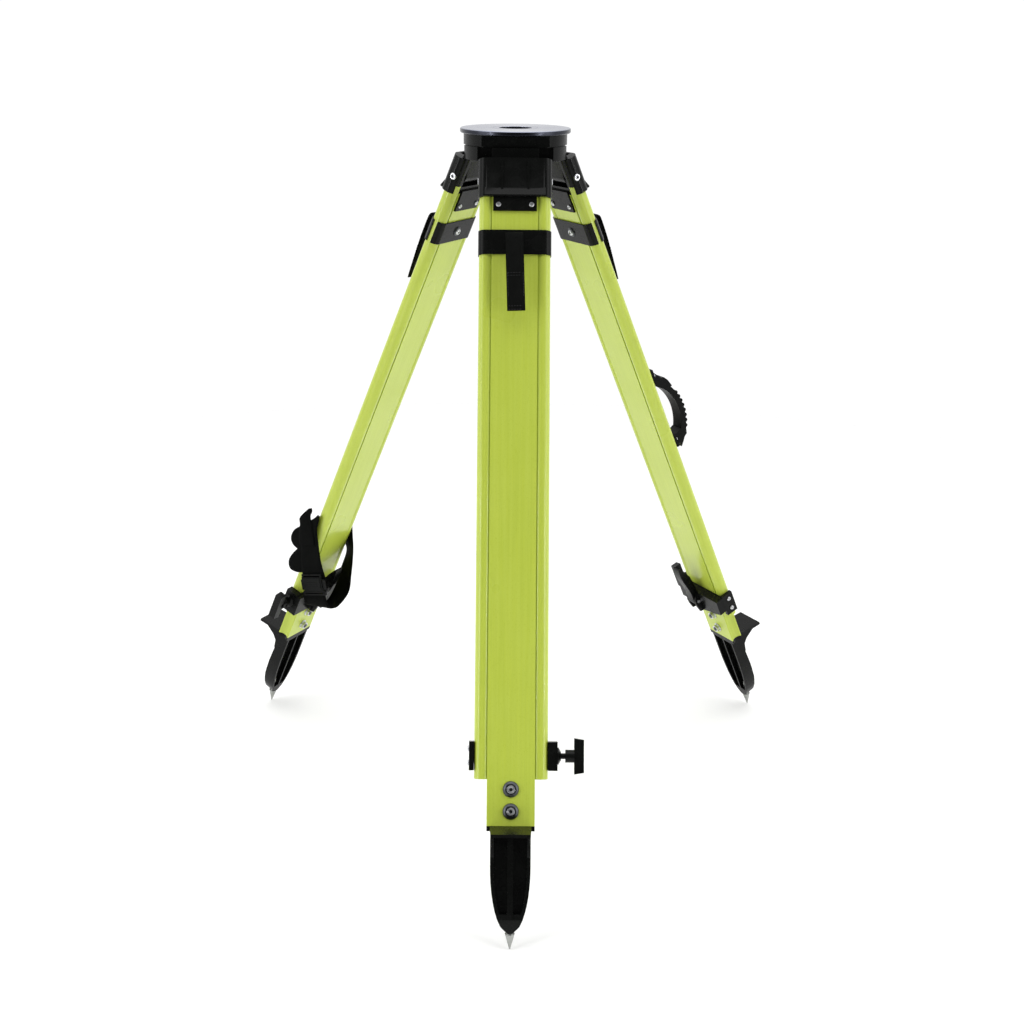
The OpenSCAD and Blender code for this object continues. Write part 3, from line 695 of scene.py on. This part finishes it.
def make_buckle():
    """Side-release buckle: shell with a strap bar at its top, two sprung prongs showing at its
    sides, and the insert's ladder below."""
    spot = (Matrix.Translation(station(*BUCKLE_AT))
            @ Matrix.Rotation(math.radians(BUCKLE_TURN), 4, "Y")
            @ Matrix.Rotation(math.radians(-90), 4, "X"))
    shell = [((-21, -13.5, -3.6), (21, 11, 3.6)), ((-18, -12, 3.2), (18, 8.5, 4.6))]
    bar = [((-21.5, -18.6, -2), (21.5, -16, 2)),
           ((-21.5, -18, -2), (-18, -12, 2)), ((18, -18, -2), (21.5, -12, 2))]
    prongs = [((-25, -9, -2.4), (-22, 9.5, 2.4)), ((22, -9, -2.4), (25, 9.5, 2.4))]
    insert = [((-23.5, 11.6, -3.2), (23.5, 14.6, 3.2)), ((-20, 17, -2.4), (20, 19.6, 2.4)),
              ((-23.5, 11.6, -2.6), (-20, 20, 2.6)), ((20, 11.6, -2.6), (23.5, 20, 2.6))]
    ribs = [((-12, -8 + 3.4 * k, 4.4), (12, -6.8 + 3.4 * k, 5.0)) for k in range(4)]
    made = make_object("side_release_buckle", bars(shell + bar + prongs + insert + ribs),
                       LEG["left"] @ spot, BUCKLE)
    soften(made, 0.9, 3)
    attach(made, "left_leg")
    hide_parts("strap_buckle")


# ---------- bolts, nuts and pins: profiles of radius and height, hexagonal where marked ----------

# stations down the leg
FOOT_BOLTS = (949.5, 980)
BAND_BOLT = 171
# how far the lower leg's faces and the band's back stand from the leg's middle plane
LOWER_FACE = 10.5
BAND_FACE = 12.8
HEX = "hex"


def hex_radius(corner, angle):
    """How far a hexagon with this corner radius reaches at an angle."""
    sector = (math.degrees(angle) % 60) - 30
    return corner * math.cos(math.radians(30)) / math.cos(math.radians(sector))


def turned(profile):
    """A lathe whose points marked HEX follow a hexagon of that corner radius."""
    hexed = {(p[0], p[1]) for p in profile if len(p) == 3}

    def reach(radius, height, angle):
        return (hex_radius(radius, angle) if (radius, height) in hexed else radius), height

    return lathe([(p[0], p[1]) for p in profile], 72, reach)


CUP_WASHER = [(4.4, 0), (11.2, 0), (11.3, 0.5), (11.0, 1.3), (9.6, 2.8), (8.2, 3.7), (7.2, 3.9),
              (6.6, 3.4), (6.3, 2.2), (4.4, 2.0)]
SOCKET_HEAD = [(0.01, 2.6), (2.95, 2.6, HEX), (2.95, 4.9, HEX), (3.5, 5.3), (4.9, 5.3), (5.4, 5.0),
               (5.6, 4.4), (5.6, 1.9), (0.01, 1.9)]
# painted shade: a near-black hexagonal plug filling the bottom of the foot bolt's socket, standing
# in for the shade inside it
SOCKET_FLOOR = [(0.01, 3.7), (2.9, 3.7, HEX), (2.9, 2.7, HEX), (0.01, 2.7)]
FLAT_WASHER = [(3.2, 0), (8.4, 0), (8.6, 0.3), (8.6, 1.2), (8.3, 1.6), (3.2, 1.6)]
NUT = [(3.6, 1.6), (6.3, 1.6), (7.2, 2.2, HEX), (7.2, 6.6, HEX), (6.2, 7.3), (4.3, 7.3),
       (3.9, 6.8), (3.6, 6.8)]
BOLT_END = [(0.01, 1.0), (3.7, 1.0), (3.7, 7.9), (3.2, 8.5), (0.01, 8.5)]
BAND_WASHER = [(2.6, 0), (7.4, 0), (7.6, 0.4), (7.3, 1.2), (6.5, 1.5), (2.6, 1.5)]
BAND_HEAD = [(0.01, 2.0), (2.4, 2.0, HEX), (2.4, 4.0, HEX), (2.8, 4.3), (3.9, 4.0), (4.8, 3.0),
             (5.0, 1.4), (0.01, 1.4)]
# painted shade: a near-black hexagonal plug filling the bottom of the band bolt's socket, standing
# in for the shade inside it
BAND_SOCKET = [(0.01, 2.9), (2.35, 2.9, HEX), (2.35, 2.1, HEX), (0.01, 2.1)]
PIN_HALF = 54.35
PIN_END = [(0.01, PIN_HALF - 3.4), (2.7, PIN_HALF - 3.4, HEX), (2.7, PIN_HALF - 0.4, HEX),
           (3.2, PIN_HALF), (4.4, PIN_HALF), (5.0, PIN_HALF - 0.6)]


def fasten(name, leg, body, place, out, profile, material, replaced=()):
    """A turned fastener standing on a leg at a place, its axis along out."""
    turn = Vector((0, 0, 1)).rotation_difference(Vector(out)).to_matrix().to_4x4()
    made = make_object(name, turned(profile), LEG[leg] @ Matrix.Translation(place) @ turn, material)
    even_shading(made, 70, keep_sharp=True)
    made.data.set_sharp_from_angle(angle=CREASE_FROM)
    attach(made, body)
    if replaced:
        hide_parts(*replaced)


def make_fasteners(leg):
    """Foot bolts, the band's bolt and the hinge pin of one leg."""
    body = f"{leg}_lower"
    for k, s in enumerate(FOOT_BOLTS):
        tag = f"{leg}_foot_bolt_{k + 1}"
        front, back = station(LOWER_FACE, 0, s), station(-LOWER_FACE, 0, s)
        fasten(f"{tag}_cup", leg, body, front, (1, 0, 0), CUP_WASHER, BOLTS,
               (f"{leg}_foot_bolts",) if k == 0 else ())
        fasten(f"{tag}_head", leg, body, front, (1, 0, 0), SOCKET_HEAD, ZINC)
        # the painted-shade plug inside the head's socket
        fasten(f"{tag}_socket", leg, body, front, (1, 0, 0), SOCKET_FLOOR, SOCKET_SHADE)
        fasten(f"{tag}_washer", leg, body, back, (-1, 0, 0), FLAT_WASHER, ZINC)
        fasten(f"{tag}_nut", leg, body, back, (-1, 0, 0), NUT, ZINC)
        fasten(f"{tag}_end", leg, body, back, (-1, 0, 0), BOLT_END, BOLTS)
    body = f"{leg}_leg"
    back = station(-BAND_FACE, 0, BAND_BOLT)
    fasten(f"{leg}_band_washer", leg, body, back, (-1, 0, 0), BAND_WASHER, BOLTS,
           (f"{leg}_band_bolt",))
    fasten(f"{leg}_band_head", leg, body, back, (-1, 0, 0), BAND_HEAD, ZINC)
    # the painted-shade plug inside the head's socket
    fasten(f"{leg}_band_socket", leg, body, back, (-1, 0, 0), BAND_SOCKET, SOCKET_SHADE)
    mirrored = [(p[0], -p[1], *p[2:]) for p in reversed(PIN_END)]
    fasten(f"{leg}_hinge_pin", leg, "head", station(0, 0, HINGE_STATION), (0, 1, 0),
           mirrored + PIN_END, ZINC, ("hinge_pins",) if leg == "front" else ())


# ---------- camera, floor and light ----------

FOCAL_MM = 51.95
SENSOR_MM = 36.0
EYE = Vector((0.0001, -2.2673, 0.1667))
LOOK_DOWN = math.radians(18.79)
ROLL = math.radians(0.53)
ORBIT = math.radians(-0.26)


def make_camera():
    """The camera, at the photograph's place and angle."""
    data = bpy.data.cameras.new("view")
    data.lens = FOCAL_MM
    data.sensor_width = SENSOR_MM
    camera = bpy.data.objects.new("view", data)
    bpy.context.scene.collection.objects.link(camera)
    camera.matrix_world = (
        Matrix.Rotation(ORBIT, 4, "Z") @ Matrix.Translation(EYE)
        @ Matrix.Rotation(math.radians(90) - LOOK_DOWN, 4, "X") @ Matrix.Rotation(ROLL, 4, "Z"))
    bpy.context.scene.camera = camera


FLOOR_RADIUS = 2.5
FLOOR_GAP = 0.0004


def make_floor():
    """A pale plain floor under the three spikes."""
    bm = bmesh.new()
    bmesh.ops.create_circle(bm, cap_ends=True, segments=128, radius=FLOOR_RADIUS)
    shade = Shader("pale_floor", 0.9, specular=0.0)
    grain = shade.noise(shade.local(), 3.0, 2.0)
    shade.put("Base Color", shade.mix(grain, (0.94, 0.94, 0.94), (0.97, 0.97, 0.97)))
    level = Matrix.Translation((0, 0, cad_box[0][2] - FLOOR_GAP))
    floor = make_object("floor", bm, level, shade.material)


LIGHTS_AIM = (0, 0, -0.35)
# each soft box: its place, its width and height, and its watts
SOFT_BOXES = {
    "side_left": ((-2.6, -0.9, 0.7), (1.0, 2.6), 19),
    "side_right": ((2.6, -0.9, 0.7), (1.0, 2.6), 19),
    "overhead": ((0, 0.1, 2.7), (4.0, 3.6), 68),
    "glint_left": ((-2.1, -1.65, -0.2), (0.12, 1.4), 16),
    "glint_right": ((2.1, -1.65, -0.2), (0.12, 1.4), 16),
}
SKY = 1.04
DIM = 0.14
DIM_UP_TO = -0.65
SKY_FROM = 0.10


def area_light(name, place, size, power):
    """A rectangular soft box aimed at the middle of the tripod."""
    data = bpy.data.lights.new(name, "AREA")
    data.shape = "RECTANGLE"
    data.size, data.size_y = size
    data.energy = power
    light = bpy.data.objects.new(name, data)
    light.location = place
    light.rotation_euler = (Vector(LIGHTS_AIM) - Vector(place)).to_track_quat("-Z", "Y").to_euler()
    bpy.context.scene.collection.objects.link(light)


def make_light():
    """A white studio that lights less from behind the camera, with soft boxes at the sides and
    overhead and two narrow strips. Seen directly, it is the same white all round."""
    world = bpy.data.worlds.new("studio")
    bpy.context.scene.world = world
    world.use_nodes = True
    nodes, links = world.node_tree.nodes, world.node_tree.links
    where = nodes.new("ShaderNodeTexCoord")
    parts = nodes.new("ShaderNodeSeparateXYZ")
    fade = nodes.new("ShaderNodeMapRange")
    fade.interpolation_type = "SMOOTHSTEP"
    # inputs 1 and 2 are the range on the Y axis, 3 and 4 the strengths at its ends
    for socket, value in ((1, DIM_UP_TO), (2, SKY_FROM), (3, DIM), (4, SKY)):
        fade.inputs[socket].default_value = value
    links.new(where.outputs["Generated"], parts.inputs[0])
    links.new(parts.outputs["Y"], fade.inputs[0])
    path = nodes.new("ShaderNodeLightPath")
    seen = nodes.new("ShaderNodeMath")
    seen.operation = "MULTIPLY"
    seen.inputs[1].default_value = SKY
    links.new(path.outputs["Is Camera Ray"], seen.inputs[0])
    lit = nodes.new("ShaderNodeMath")
    lit.operation = "MAXIMUM"
    links.new(fade.outputs[0], lit.inputs[0])
    links.new(seen.outputs[0], lit.inputs[1])
    sky = nodes["Background"]
    sky.inputs[0].default_value = (1, 1, 1, 1)
    links.new(lit.outputs[0], sky.inputs[1])
    for name, (place, size, power) in SOFT_BOXES.items():
        area_light(name, place, size, power)
    bpy.context.scene.view_settings.view_transform = "Standard"


make_camera()
make_floor()
make_light()
for node_name in NODES:
    finish, rounding = finish_of(node_name)
    refine_node(node_name, finish, rounding)
make_head_plate()
make_fixing_stud()
for each_leg in LEGS:
    make_hang_tab(each_leg)
    make_fasteners(each_leg)
make_strap()
make_buckle()
